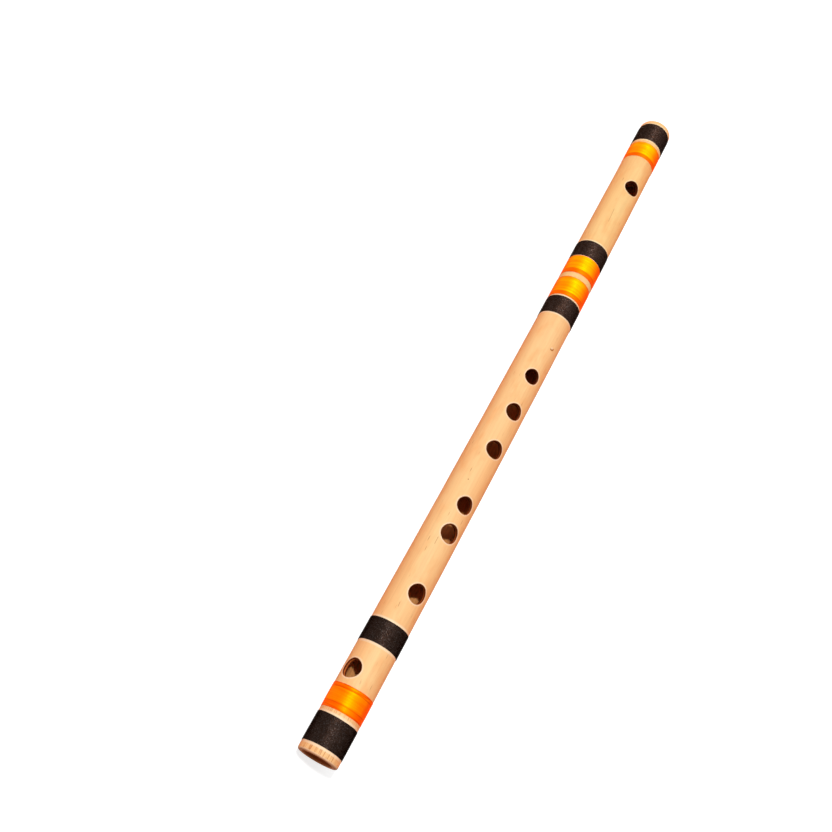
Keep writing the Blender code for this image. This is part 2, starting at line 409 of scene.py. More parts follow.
def scaled(tree, place, scale):
    """The place with each of its parts multiplied, which makes a pattern finer."""
    inputs = {"Vector": place, "Scale": scale}
    return add_node(tree, "ShaderNodeMapping", inputs).outputs["Vector"]


def remap(tree, value, low, high, at_low=0.0, at_high=1.0):
    """The value's stretch from low to high, spread over another and kept within it."""
    inputs = {
        "Value": value,
        "From Min": low,
        "From Max": high,
        "To Min": at_low,
        "To Max": at_high,
    }
    return add_node(tree, "ShaderNodeMapRange", inputs).outputs["Result"]


def grade(tree, share, at_none, at_full):
    """A value that goes with a share from 0 to 1."""
    return remap(tree, share, 0.0, 1.0, at_none, at_full)


def noise(tree, place, pattern, at_low=0.0, at_high=1.0):
    """A pattern of noise, spread over a stretch of values."""
    inputs = {
        "Vector": scaled(tree, place, pattern.scale),
        "Scale": 1.0,
        "Detail": pattern.detail,
        "Roughness": pattern.roughness,
    }
    value = add_node(tree, "ShaderNodeTexNoise", inputs).outputs["Fac"]
    return remap(tree, value, pattern.low, pattern.high, at_low, at_high)


def cells(tree, place, scale):
    """Voronoi cells of about 1/scale metres: (distance to the middle, a random colour)."""
    inputs = {"Vector": scaled(tree, place, scale), "Scale": 1.0}
    node = add_node(tree, "ShaderNodeTexVoronoi", inputs)
    return node.outputs["Distance"], node.outputs["Color"]


def calculate(tree, operation, value, *others):
    """A value worked out with each of the others in turn."""
    for other in others:
        inputs = {0: value, 1: other}
        value = add_node(tree, "ShaderNodeMath", inputs, operation=operation).outputs["Value"]
    return value


def vector_math(tree, operation, first, second, output="Vector"):
    """What two vectors make, as a vector, or as a number from the output named Value."""
    inputs = {0: first, 1: second}
    return add_node(tree, "ShaderNodeVectorMath", inputs, operation=operation).outputs[output]


def join_equal(tree, value):
    """A vector whose three parts are one value."""
    inputs = {"X": value, "Y": value, "Z": value}
    return add_node(tree, "ShaderNodeCombineXYZ", inputs).outputs["Vector"]


def mix(tree, share, first, second):
    """A colour that goes from the first to the second with the share."""
    node = add_node(tree, "ShaderNodeMix", data_type="RGBA")
    sockets = {socket.identifier: socket for socket in node.inputs}
    for identifier, value in (("Factor_Float", share), ("A_Color", first), ("B_Color", second)):
        feed(tree, sockets[identifier], value)
    return next(socket for socket in node.outputs if socket.identifier == "Result_Color")


def times(colour, factor):
    """A plain colour, brighter or darker by a factor."""
    return [part * factor for part in colour]


def bump(tree, height, strength, depth):
    """A bump of a height from 0 to 1 that stands for a depth in metres."""
    inputs = {"Height": height, "Strength": strength, "Distance": depth}
    return add_node(tree, "ShaderNodeBump", inputs).outputs["Normal"]


def near_point(tree, place, point, inner, outer):
    """1 within a distance of a point, falling to 0 at a wider one."""
    distance = vector_math(tree, "DISTANCE", place, point, "Value")
    return remap(tree, distance, inner, outer, 1.0, 0.0)


def near_line(tree, place, start, end, inner, outer):
    """1 within a distance of the line between two points, falling to 0 at a wider one."""
    run = Vector(end) - Vector(start)
    from_start = vector_math(tree, "SUBTRACT", place, start)
    along = vector_math(tree, "DOT_PRODUCT", from_start, run / run.length_squared, "Value")
    inputs = {0: run, "Scale": remap(tree, along, 0.0, 1.0)}
    nearest = add_node(tree, "ShaderNodeVectorMath", inputs, operation="SCALE").outputs["Vector"]
    distance = vector_math(tree, "DISTANCE", from_start, nearest, "Value")
    return remap(tree, distance, inner, outer, 1.0, 0.0)


def place_along(tree, place):
    """How far a place is along the tube from its middle."""
    return add_node(tree, "ShaderNodeSeparateXYZ", {"Vector": place}).outputs["X"]


def near_foot(tree, place, inner, outer, share=1.0):
    """A share up to a distance from the foot, falling to 0 at a wider one."""
    foot = -TUBE_LENGTH / 2
    return remap(tree, place_along(tree, place), foot + inner, foot + outer, share, 0.0)


# The cane


class BansuriCane(bpy.types.PropertyGroup):
    """Sizes and colours of the cane"""

    rim_rounding: FloatProperty(
        name="Rim rounding",
        description="Rounding of the tube's two outer rims",
        default=0.0010,
        min=0.0002,
        unit="LENGTH",
    )
    bore_lip: FloatProperty(
        name="Bore lip",
        description="Rounding where the bore meets the sawn ends",
        default=0.0005,
        min=0.0001,
        unit="LENGTH",
    )
    hole_rounding: FloatProperty(
        name="Hole rounding",
        description="Rounding of the sanded edge of each hole",
        default=0.0005,
        min=0.0001,
        unit="LENGTH",
    )
    colour: FloatVectorProperty(
        name="Cane",
        description="Colour of the scraped cane",
        default=(1.0, 0.74, 0.37),
        **AS_COLOUR,
    )
    ripe_colour: FloatVectorProperty(
        name="Ripe cane",
        description="Colour of the cane's redder patches",
        default=(0.98, 0.61, 0.28),
        **AS_COLOUR,
    )
    upper_tint: FloatVectorProperty(
        name="Upper cane",
        description="What the cane's colours are multiplied by past the middle bindings",
        default=(1.0, 1.07, 0.99),
        min=0.0,
        max=2.0,
    )
    fleck_colour: FloatVectorProperty(
        name="Flecks",
        description="Colour of the fibre flecks and of the small marks",
        default=(0.36, 0.17, 0.06),
        **AS_COLOUR,
    )
    sanded_colour: FloatVectorProperty(
        name="Sanded edge",
        description="Colour of the cane where the edges of rims and holes are sanded",
        default=(1.0, 0.87, 0.60),
        **AS_COLOUR,
    )
    stain_colour: FloatVectorProperty(
        name="Rim streaks",
        description="Colour of the brown streaks on the bare rim at the foot",
        default=(0.52, 0.23, 0.08),
        **AS_COLOUR,
    )
    end_colour: FloatVectorProperty(
        name="Sawn end",
        description="Colour of the sawn ends, where the grain soaks up the varnish",
        default=(0.62, 0.15, 0.035),
        **AS_COLOUR,
    )
    singed_colour: FloatVectorProperty(
        name="Singed cane",
        description="Colour of the cane beside the soot, on the hole walls and in the bore",
        default=(0.62, 0.17, 0.04),
        **AS_COLOUR,
    )
    burnt_colour: FloatVectorProperty(
        name="Burnt wall",
        description="Colour of the hole walls, which a hot rod has burnt",
        default=(0.15, 0.020, 0.006),
        **AS_COLOUR,
    )
    bore_colour: FloatVectorProperty(
        name="Bore",
        description="Colour of the tube's inside",
        default=(0.84, 0.37, 0.12),
        **AS_COLOUR,
    )


def corner(place, radius, rounding, start, end):
    """Points of a rounded corner about (place, radius), with angles in degrees from outwards."""
    points = []
    for step in range(CORNER_STEPS + 1):
        angle = math.radians(start + (end - start) * step / CORNER_STEPS)
        points.append((place + rounding * math.sin(angle), radius + rounding * math.cos(angle)))
    return points


def cane_section(cane):
    """The wall's section as rings, from the foot's bore lip along the outside and back up the bore.

    Returns the rings as (place, radius, shares), the stations, and the numbers of the outside's
    first ring and of the bore's ring under it. An outside ring's radius is None, as it is scraped.
    """
    bore = BORE_DIAMETER / 2
    rim, lip = cane.rim_rounding, cane.bore_lip
    head = TUBE_LENGTH
    stations = [
        rim + (head - 2 * rim) * step / CANE_STATIONS for step in range(CANE_STATIONS + 1)
    ]
    foot_edge, head_edge = tube_radius(0.0) - rim, tube_radius(head) - rim
    face_steps = [step / FACE_RINGS for step in range(1, FACE_RINGS)]
    lip_shares = {"bored": 0.5, "sawn": 0.5}
    rings = [(*point, lip_shares) for point in corner(lip, bore + lip, lip, -180, -90)]
    rings += [
        (0.0, bore + lip + (foot_edge - bore - lip) * share, {"sawn": 1.0}) for share in face_steps
    ]
    foot_rim = corner(rim, foot_edge, rim, -90, 0)
    rings += [
        (*point, {"sanded": RIM_SANDED, "sawn": 1.0 - step / CORNER_STEPS})
        for step, point in enumerate(foot_rim[:-1])
    ]
    first_outside = len(rings)
    rings += [(place, None, {}) for place in stations]
    head_rim = corner(head - rim, head_edge, rim, 0, 90)
    rings += [
        (*point, {"sanded": RIM_SANDED, "sawn": (step + 1) / CORNER_STEPS})
        for step, point in enumerate(head_rim[1:])
    ]
    rings += [
        (head, head_edge + (bore + lip - head_edge) * share, {"sawn": 1.0}) for share in face_steps
    ]
    rings += [(*point, lip_shares) for point in corner(head - lip, bore + lip, lip, 90, 180)]
    first_bore = len(rings) + len(stations) - 1
    rings += [(place, bore, {"bored": 1.0}) for place in reversed(stations)]
    return rings, stations, first_outside, first_bore


Window = namedtuple("Window", "hole first last left right")


def hole_window(hole, stations, rounding):
    """The block of stations and turns that a hole's rings fill, as numbers of the grid's lines."""
    reach = hole.length / 2 + rounding + HOLE_SPREAD_ALONG
    step = stations[1] - stations[0]
    widest = math.asin(hole.width / BORE_DIAMETER) + HOLE_SPREAD_ROUND
    turn_step = math.tau / CANE_AROUND
    turn = math.radians(hole.turn)
    return Window(
        hole,
        math.floor((hole.place - reach - stations[0]) / step),
        math.ceil((hole.place + reach - stations[0]) / step),
        math.floor((turn - widest) / turn_step),
        math.ceil((turn + widest) / turn_step),
    )


def window_edge(window):
    """The grid points round a window, as (station, turn) numbers, one after the other."""
    _, first, last, left, right = window
    edge = [(station, left) for station in range(first, last)]
    edge += [(last, turn) for turn in range(left, right)]
    edge += [(station, right) for station in range(last, first, -1)]
    edge += [(first, turn) for turn in range(right, left, -1)]
    return edge


def add_hole(draft, window, stations, outside_edge, bore_edge, rounding):
    """Rings from the outside's plain wall over the hole's rounded lip and down to the bore."""
    hole = window.hole
    turn_step = math.tau / CANE_AROUND
    middle = math.radians(hole.turn)
    bore = BORE_DIAMETER / 2
    edge = [(stations[station], turn * turn_step) for station, turn in window_edge(window)]
    half_along = (stations[window.last] - stations[window.first]) / 2
    half_round = (window.right - window.left) * turn_step / 2
    angles = [
        math.atan2((turn - middle) / half_round, (place - hole.place) / half_along)
        for place, turn in edge
    ]

    def oval(angle, flare):
        """The place along the tube and the width across it at an angle of the hole's outline."""
        along = (hole.length / 2 + flare) * math.cos(angle)
        return hole.place + along, (hole.width / 2 + flare) * math.sin(angle)

    def spread_ring(share, radius_at, flare, edge_share, reach, **shares):
        """A ring on the plain wall, a share of the way from the outline to the window's edge."""
        ring = []
        for (edge_place, edge_turn), angle in zip(edge, angles):
            place, across = oval(angle, flare)
            turn = middle + math.asin(across / radius_at(place, middle))
            across_way = (edge_turn - turn) * radius_at(place, middle)
            away = share * math.hypot(edge_place - place, across_way)
            place += (edge_place - place) * share
            turn += (edge_turn - turn) * share
            shares[edge_share] = 1 - smooth_step(away, 0.0, reach)
            ring.append(draft.add(on_tube(place, turn, radius_at(place, turn)), **shares))
        return ring

    def drilled_ring(flare, drop, depth, **shares):
        """A ring of the drilled wall, a drop under the outside and a share of the way to the bore."""
        ring = []
        for angle in angles:
            place, across = oval(angle, flare)
            turn = middle + math.asin(across / tube_radius(place))
            outside_level = math.sqrt(scraped_radius(place, turn) ** 2 - across**2)
            bore_level = math.sqrt(bore**2 - across**2)
            level = (outside_level - drop) * (1 - depth) + bore_level * depth
            x, y, z = middle_line(place)
            y += across * math.cos(middle) + level * math.sin(middle)
            z += level * math.cos(middle) - across * math.sin(middle)
            ring.append(draft.add((x, y, z), **shares))
        return ring

    loops = [outside_edge]
    for share in RING_SPREAD:
        loops.append(spread_ring(share, scraped_radius, rounding, "sanded", SANDED_REACH))
    for step in range(LIP_STEPS + 1):
        angle = math.radians(90 * step / LIP_STEPS)
        flare = rounding * (1 - math.sin(angle))
        drop = rounding * (1 - math.cos(angle))
        burnt = smooth_step(step / LIP_STEPS, *LIP_BURNT)
        loops.append(drilled_ring(flare, drop, 0.0, sanded=1.0, burnt=burnt))
    for step in range(1, WALL_STEPS + 1):
        depth = step / WALL_STEPS
        # Painted highlight: the soot gives way to a paler band down the middle of the wall
        burnt = 1 - hole.bare * math.exp(-(((depth - WALL_HIGHLIGHT_DEPTH) / WALL_HIGHLIGHT_SPREAD) ** 2))
        loops.append(drilled_ring(0.0, rounding, depth, burnt=burnt))
    for share in reversed(RING_SPREAD):
        loops.append(spread_ring(share, bore_radius, 0.0, "burnt", SCORCHED_REACH, bored=1.0))
    loops.append(bore_edge)
    for outer, inner in zip(loops, loops[1:]):
        draft.join_loops(outer, inner)


def cane_draft(cane):
    """The bored tube: a grid of rings and turns with a window for each hole."""
    draft = Draft("burnt", "bored", "sawn", "sanded")
    rings, stations, first_outside, first_bore = cane_section(cane)
    windows = [hole_window(hole, stations, cane.hole_rounding) for hole in HOLES]
    cut_cells, cut_points = set(), set()
    for window in windows:
        for station in range(window.first, window.last):
            for turn in range(window.left, window.right):
                cut_cells.add((station, turn % CANE_AROUND))
                if station > window.first and turn > window.left:
                    cut_points.add((station, turn % CANE_AROUND))

    def station_of(ring):
        """The station of an outside ring or a bore ring, or None on the ends."""
        if first_outside <= ring < first_outside + len(stations):
            return ring - first_outside
        if first_bore - len(stations) < ring <= first_bore:
            return first_bore - ring
        return None

    grid = {}
    for ring, (place, radius, shares) in enumerate(rings):
        for number in range(CANE_AROUND):
            if (station_of(ring), number) in cut_points:
                continue
            turn = math.tau * number / CANE_AROUND
            reach = radius if radius is not None else scraped_radius(place, turn)
            grid[ring, number] = draft.add(on_tube(place, turn, reach), **shares)
    for ring in range(len(rings)):
        after = (ring + 1) % len(rings)
        stations_here = station_of(ring), station_of(after)
        cut_station = None if None in stations_here else min(stations_here)
        for number in range(CANE_AROUND):
            if (cut_station, number) in cut_cells:
                continue
            beside = (number + 1) % CANE_AROUND
            draft.faces.append(
                (grid[ring, number], grid[after, number], grid[after, beside], grid[ring, beside])
            )
    for window in windows:
        edge = window_edge(window)
        outside_edge = [grid[first_outside + s, t % CANE_AROUND] for s, t in edge]
        bore_edge = [grid[first_bore - s, t % CANE_AROUND] for s, t in edge]
        add_hole(draft, window, stations, outside_edge, bore_edge, cane.hole_rounding)
    return draft


def cane_marks(tree, place):
    """1 where the speck and the nail mark are, and a share where the scratches are."""
    speck = near_point(tree, place, mark_point(SPECK), *SPECK_REACH)
    nail = mark_point(NAIL_MARK)
    off_arc = vector_math(tree, "DISTANCE", place, nail, "Value")
    off_arc = calculate(tree, "SUBTRACT", off_arc, NAIL_ARC_RADIUS)
    off_arc = calculate(tree, "ABSOLUTE", off_arc, 0.0)
    ring = remap(tree, off_arc, *NAIL_ARC_REACH, 1.0, 0.0)
    from_nail = vector_math(tree, "SUBTRACT", place, nail)
    side = vector_math(tree, "DOT_PRODUCT", from_nail, NAIL_ARC_SIDE, "Value")
    side = remap(tree, side, *NAIL_ARC_START)
    marks = [speck, calculate(tree, "MULTIPLY", ring, side)]
    for start, end in SCRATCHES:
        line = near_line(tree, place, mark_point(start), mark_point(end), *SCRATCH_REACH)
        marks.append(calculate(tree, "MULTIPLY", line, SCRATCH_STRENGTH))
    return calculate(tree, "MAXIMUM", *marks)


def fleck_share(tree, place):
    """Short dark fibres along the cane, more of them at its foot."""
    distance, tint = cells(tree, place, FLECK_CELLS)
    fleck = remap(tree, distance, *FLECK_REACH, 1.0, 0.0)
    chosen = add_node(tree, "ShaderNodeSeparateColor", {"Color": tint}).outputs["Red"]
    needed = grade(tree, near_foot(tree, place, *THICKLY_FLECKED), at_none=0.965, at_full=0.79)
    chosen = calculate(tree, "GREATER_THAN", chosen, needed)
    patches = noise(tree, place, FLECK_PATCHES, at_low=0.15, at_high=0.70)
    return calculate(tree, "MULTIPLY", fleck, chosen, patches)


def rim_streaks(tree, place):
    """Short brown streaks on the bare rim at the foot, and fainter ones past its cotton."""
    streaks = noise(tree, place, RIM_STREAKS)
    patches = noise(tree, place, RIM_PATCHES, at_low=0.4, at_high=1.0)
    on_rim = near_foot(tree, place, *RIM_STAINED)
    on_strip = near_foot(tree, place, *STRIP_STAINED, share=0.5)
    strength = calculate(tree, "MAXIMUM", on_rim, on_strip)
    return calculate(tree, "MULTIPLY", streaks, patches, strength)


def cotton_edges(tree, place):
    """1 on the pale line where the varnish stops short of each cotton binding, and under it."""
    along = place_along(tree, place)
    inner, outer = PALE_LINE
    lines = []
    for node in solids_ending(COTTON.ending):
        low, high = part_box(node)
        half = (high.x - low.x) / 2
        away = calculate(tree, "SUBTRACT", along, (low.x + high.x) / 2)
        away = calculate(tree, "ABSOLUTE", away, 0.0)
        lines.append(remap(tree, away, half + inner, half + outer, 1.0, 0.0))
    return calculate(tree, "MAXIMUM", 0.0, *lines)


def outside_colour(tree, place, cane, streaks, fibres, marks):
    """The scraped cane with its patches, flecks and marks, and pale where sanded and at a painted
    highlight.
    """
    broad = calculate(tree, "MULTIPLY", noise(tree, place, BROAD_PATCHES), 0.75)
    ripe = calculate(tree, "MAXIMUM", broad, noise(tree, place, BLOTCHES))
    colour = mix(tree, ripe, cane.colour, cane.ripe_colour)
    streaks_shade = grade(tree, streaks, at_none=1.05, at_full=0.94)
    fibres_shade = grade(tree, fibres, at_none=1.03, at_full=0.96)
    shade = calculate(tree, "MULTIPLY", streaks_shade, fibres_shade)
    colour = vector_math(tree, "MULTIPLY", colour, join_equal(tree, shade))
    dark = calculate(tree, "MAXIMUM", fleck_share(tree, place), marks)
    colour = mix(tree, dark, colour, cane.fleck_colour)
    colour = mix(tree, rim_streaks(tree, place), colour, cane.stain_colour)
    # Painted highlight: the spot in the middle of the nail's arc is made pale like a sanded edge
    nail_highlight = near_point(tree, place, mark_point(NAIL_MARK), *NAIL_HIGHLIGHT_REACH)
    sanded = calculate(tree, "MAXIMUM", share_of(tree, "sanded"), cotton_edges(tree, place), nail_highlight)
    pale = grade(tree, sanded, at_none=0.0, at_full=0.9)
    colour = mix(tree, pale, colour, cane.sanded_colour)
    tint = mix(tree, near_foot(tree, place, *LOWER_CANE), cane.upper_tint, (1.0, 1.0, 1.0))
    return vector_math(tree, "MULTIPLY", colour, tint)


def sawn_colour(tree, place, cane):
    """The varnished end grain, with the dark dots of the cane's fibre bundles."""
    distance, _ = cells(tree, place, BUNDLE_CELLS)
    dots = remap(tree, distance, *BUNDLE_REACH, at_low=0.75, at_high=0.0)
    return mix(tree, dots, cane.end_colour, times(cane.end_colour, 0.45))


def bored_colour(tree, place, cane, streaks):
    """The bore's streaked wall, darker and redder near the foot as painted shade."""
    colour = mix(tree, streaks, cane.bore_colour, times(cane.bore_colour, 0.75))
    return mix(tree, near_foot(tree, place, *BORE_PAINTED_SHADE), colour, cane.end_colour)


def cane_material(cane):
    """Scraped outside, varnished on its sawn ends, and burnt in its holes."""
    material, tree, shader = new_material(
        "scraped_cane",
        Metallic=0.0,
        Specular_IOR_Level=0.12,
        Sheen_Roughness=0.85,
        Sheen_Tint=(1.0, 0.18, 0.0),
    )
    place = object_place(tree)
    streaks = noise(tree, place, STREAKS)
    fibres = noise(tree, place, FIBRES)
    marks = cane_marks(tree, place)
    sawn = share_of(tree, "sawn")
    bored = share_of(tree, "bored")
    burnt = share_of(tree, "burnt")
    colour = outside_colour(tree, place, cane, streaks, fibres, marks)
    colour = mix(tree, sawn, colour, sawn_colour(tree, place, cane))
    colour = mix(tree, bored, colour, bored_colour(tree, place, cane, streaks))
    singed = remap(tree, burnt, 0.0, 0.35)
    colour = mix(tree, singed, colour, cane.singed_colour)
    soot = noise(tree, place, SOOT)
    soot_colour = mix(tree, soot, times(cane.burnt_colour, 0.4), cane.burnt_colour)
    colour = mix(tree, burnt, colour, soot_colour)
    inside = calculate(tree, "MAXIMUM", bored, sawn)
    rough = grade(tree, streaks, at_none=0.40, at_full=0.52)
    rough = calculate(tree, "ADD", rough, calculate(tree, "MULTIPLY", inside, 0.25))
    rough = calculate(tree, "ADD", rough, calculate(tree, "MULTIPLY", burnt, 0.15))
    sheen = calculate(tree, "SUBTRACT", 1.0, calculate(tree, "MAXIMUM", inside, burnt))
    height = calculate(tree, "ADD", fibres, calculate(tree, "MULTIPLY", streaks, 0.8))
    height = calculate(tree, "SUBTRACT", height, calculate(tree, "MULTIPLY", marks, 2.0))
    normal = bump(tree, height, strength=0.35, depth=0.00003)
    dress(tree, shader, Base_Color=colour, Roughness=rough, Sheen_Weight=sheen, Normal=normal)
    return material


# The bindings


class BansuriThread(bpy.types.PropertyGroup):
    """Sizes and colours of the threads"""

    cotton_thickness: FloatProperty(
        name="Cotton",
        description="Thickness of the black cotton thread",
        default=0.00021,
        min=0.0001,
        unit="LENGTH",
    )
    silk_thickness: FloatProperty(
        name="Silk",
        description="Thickness of the orange silk thread",
        default=0.00017,
        min=0.0001,
        unit="LENGTH",
    )
    waviness: FloatProperty(
        name="Waviness",
        description="How far the turns stray along the tube",
        default=0.00006,
        min=0.0,
        unit="LENGTH",
    )
    cotton_colour: FloatVectorProperty(
        name="Black cotton",
        description="Colour of the cotton thread",
        default=(0.0165, 0.0092, 0.0064),
        **AS_COLOUR,
    )
    cotton_fibre_colour: FloatVectorProperty(
        name="Cotton fibres",
        description="Colour of the paler fibres in the cotton's twist",
        default=(0.105, 0.098, 0.094),
        **AS_COLOUR,
    )
    # Painted highlight: the cotton's colours are multiplied by this away from the foot, where it
    # shines more
    cotton_highlight_tint: FloatVectorProperty(
        name="Lower cotton",
        description="What the cotton's colours are multiplied by near the foot",
        default=(1.28, 1.15, 1.12),
        min=0.0,
        max=2.0,
    )
    # The cotton's colours are multiplied by this near the foot
    cotton_foot_tint: FloatVectorProperty(
        name="Upper cotton",
        description="What the cotton's colours are multiplied by away from the foot",
        default=(0.9, 0.85, 0.85),
        min=0.0,
        max=2.0,
    )
    silk_colour: FloatVectorProperty(
        name="Orange silk",
        description="Colour of the silk thread",
        default=(0.97, 0.37, 0.0),
        **AS_COLOUR,
    )
    # The silk takes this colour as painted shade on its side turned from the light and near the foot,
    # and a darker copy of it as shade in its laps and at its edges; it also takes it in a lower layer
    # and in its strands and folds.
    silk_deep_colour: FloatVectorProperty(
        name="Deep orange silk",
        description="Colour of the silk where it has not faded, and in its folds, laps and edges",
        default=(0.88, 0.05, 0.0),
        **AS_COLOUR,
    )


def winding_draft(start, end, thickness, kind, waves, laps):
    """One thread wound close from start to end, each turn joined to the next along its groove."""
    around, across, groove = kind.around, kind.across, kind.groove
    turns = max(2, round((end - start) / thickness) - 1)
    pitch = (end - start) / (turns + 1)
    draft = Draft("lap", "edge", "deep")
    rise = random.Random(round(start * 1e5))
    turn_rises = [rise.uniform(-UNEVEN, UNEVEN) for _ in range(turns + 3)]

    def add_point(number, part, height, inside=False):
        """A point of the thread after a number of steps round the tube, part way across it."""
        turns_done = number / around + part
        turn = WINDING_START + math.tau * number / around
        place = start + pitch * turns_done
        lap = 0.0
        sunk = 0.0
        for mark in laps:
            swing = mark.swing * math.cos(turn - math.radians(mark.turn))
            strayed = waves_at(waves, mark.place * LAP_WAVES_APART, turn) * LAP_STRAY
            past = place - start - mark.place - swing - strayed
            lap += math.exp(-((past / mark.width) ** 2))
            if mark.lower:
                sunk = max(sunk, smooth_step(past * mark.lower, -mark.width, mark.width))
        lap = min(1.0, lap)
        edge = 1 - smooth_step(min(place - start, end - place), 0.0, EDGE_WIDTH)
        # Painted shade: the side turned from the light takes the deep colour
        painted_shade = smooth_step(math.acos(math.cos(turn - LIT_TURN)), *PAINTED_SHADE_REACH)
        deep = 1 - (1 - LOWER_DEEP * sunk) * (1 - painted_shade)
        before = int(turns_done)
        rise_here, rise_after = turn_rises[before : before + 2]
        uneven = rise_here + (rise_after - rise_here) * (turns_done - before)
        radius = scraped_radius(place, turn) + SEAT_GAP
        if not inside:
            radius += thickness * height * (1 + uneven) * (1 - PRESSED * max(lap, sunk))
        place += waves_at(waves, place, turn)
        return draft.add(on_tube(place, turn, radius), lap=lap, edge=edge, deep=deep)

    steps = turns * around
    seams = [add_point(number, 0.0, groove) for number in range(steps + around + 1)]
    seats = [add_point(number, 0.0, 0.0, True) for number in range(steps + around + 1)]
    rows = []
    for number in range(steps + 1):
        row = [seams[number]]
        for part in range(1, across):
            angle = math.pi * part / across
            height = groove + (1 - groove) * math.sin(angle)
            row.append(add_point(number, (1 - math.cos(angle)) / 2, height))
        row.append(seams[number + around])
        rows.append(row)
    faces = draft.faces
    for row, after in zip(rows, rows[1:]):
        for part in range(across):
            faces.append((row[part], row[part + 1], after[part + 1], after[part]))
    for number in range(steps):
        beside = number + around
        faces.append((seats[number], seats[number + 1], seats[beside + 1], seats[beside]))
    for number in range(around):
        faces.append((seams[number], seams[number + 1], seats[number + 1], seats[number]))
        last = steps + number
        faces.append((seams[last], seats[last], seats[last + 1], seams[last + 1]))
    faces.append((seats[0], seats[around], *reversed(rows[0])))
    faces.append((*rows[-1], seats[steps + around], seats[steps]))
    return draft


def wind_bindings(kind, thickness, waviness, material):
    """Winds a kind of thread where the solids of its bindings are."""
    for node in solids_ending(kind.ending):
        low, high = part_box(node)
        start, end = low.x + TUBE_LENGTH / 2, high.x + TUBE_LENGTH / 2
        chance = random.Random(round(start * 1e6))
        waves = [
            wave._replace(size=waviness * wave.size, phase=chance.uniform(0, math.tau))
            for wave in STRAY_WAVES
        ]
        draft = winding_draft(start, end, thickness, kind, waves, SILK_LAPS.get(node, ()))
        piece = new_piece(node.replace("binding", "thread"), draft, material, kind.sharp_degrees)
        stand_for(piece, node, "flute")


def cotton_material(thread):
    """Waxed thread that shines in its own dark colour, painted brighter away from the foot as a
    highlight.
    """
    material, tree, shader = new_material(
        "waxed_black_cotton",
        Metallic=1.0,
        Specular_Tint=(0.30, 0.26, 0.24),
    )
    place = object_place(tree)
    twist = noise(tree, place, TWIST)
    patches = noise(tree, place, COTTON_PATCHES)
    colour = mix(tree, patches, thread.cotton_colour, times(thread.cotton_colour, 1.5))
    fibres = remap(tree, twist, 0.60, 1.0, 0.0, 0.5)
    colour = mix(tree, fibres, colour, thread.cotton_fibre_colour)
    # Painted highlight: the cotton is brighter and browner away from the foot
    lower = near_foot(tree, place, *LOWER_THREADS)
    tint = mix(tree, lower, thread.cotton_highlight_tint, thread.cotton_foot_tint)
    colour = vector_math(tree, "MULTIPLY", colour, tint)
    glints = noise(tree, place, GLINTS)
    duller = near_foot(tree, place, *LOWER_THREADS, share=0.05)
    rough = grade(tree, glints, at_none=0.46, at_full=0.18)
    rough = calculate(tree, "ADD", rough, duller)
    height = calculate(tree, "ADD", twist, glints)
    normal = bump(tree, height, strength=0.8, depth=0.00006)
    dress(tree, shader, Base_Color=colour, Roughness=rough, Normal=normal)
    return material


def silk_material(thread):
    """Floss that shines in its own colour, with painted shade away from the light, in laps and at
    edges.
    """
    material, tree, shader = new_material(
        "orange_silk_floss",
        Metallic=0.92,
        Specular_Tint=(1.0, 0.75, 0.0),
        Sheen_Weight=0.6,
        Sheen_Roughness=0.4,
        Sheen_Tint=(1.0, 0.04, 0.0),
    )
    place = object_place(tree)
    deep_colour = thread.silk_deep_colour
    strands = noise(tree, place, STRANDS)
    folds = noise(tree, place, FOLDS)
    in_strands = grade(tree, strands, at_none=0.0, at_full=0.30)
    colour = mix(tree, in_strands, thread.silk_colour, deep_colour)
    in_folds = grade(tree, folds, at_none=0.0, at_full=0.38)
    colour = mix(tree, in_folds, colour, deep_colour)
    # Painted shade: near the foot the silk takes more of its deep colour
    lower = near_foot(tree, place, *LOWER_THREADS, share=0.5)
    deep = calculate(tree, "MAXIMUM", share_of(tree, "deep"), lower)
    colour = mix(tree, deep, colour, deep_colour)
    # Painted shade: darker in the laps and at the edges of each binding
    dark = calculate(tree, "MAXIMUM", share_of(tree, "lap"), share_of(tree, "edge"))
    colour = mix(tree, calculate(tree, "MULTIPLY", dark, 0.7), colour, times(deep_colour, 0.7))
    rough = grade(tree, strands, at_none=0.46, at_full=0.56)
    normal = bump(tree, strands, strength=0.3, depth=0.00003)
    dress(tree, shader, Base_Color=colour, Roughness=rough, Normal=normal)
    return material


# The stopper


class BansuriCork(bpy.types.PropertyGroup):
    """Sizes and colours of the cork"""

    chamfer: FloatProperty(
        name="Chamfer",
        description="Bevel of the cork's two rims",
        default=0.0008,
        min=0.0,
        unit="LENGTH",
    )
    colour: FloatVectorProperty(
        name="Cork",
        description="Colour of the cork",
        default=(0.52, 0.31, 0.15),
        **AS_COLOUR,
    )
    pit_colour: FloatVectorProperty(
        name="Pits",
        description="Colour of the cork's pores and pits",
        default=(0.14, 0.060, 0.025),
        **AS_COLOUR,
    )


def cork_section(length, radius, bevel):
    """The cork's outline as (place, radius), from the middle of one face to that of the other."""
    face = radius - bevel
    side = length - 2 * bevel
    section = [(0.0, face * step / CORK_RINGS) for step in range(1, CORK_RINGS)]
    for step in range(BEVEL_STEPS):
        section.append((bevel * step / BEVEL_STEPS, face + bevel * step / BEVEL_STEPS))
    section += [(bevel + side * step / CORK_ROWS, radius) for step in range(CORK_ROWS + 1)]
    for step in range(1, BEVEL_STEPS + 1):
        place = length - bevel + bevel * step / BEVEL_STEPS
        section.append((place, radius - bevel * step / BEVEL_STEPS))
    section += [(length, face * step / CORK_RINGS) for step in range(CORK_RINGS - 1, 0, -1)]
    return section


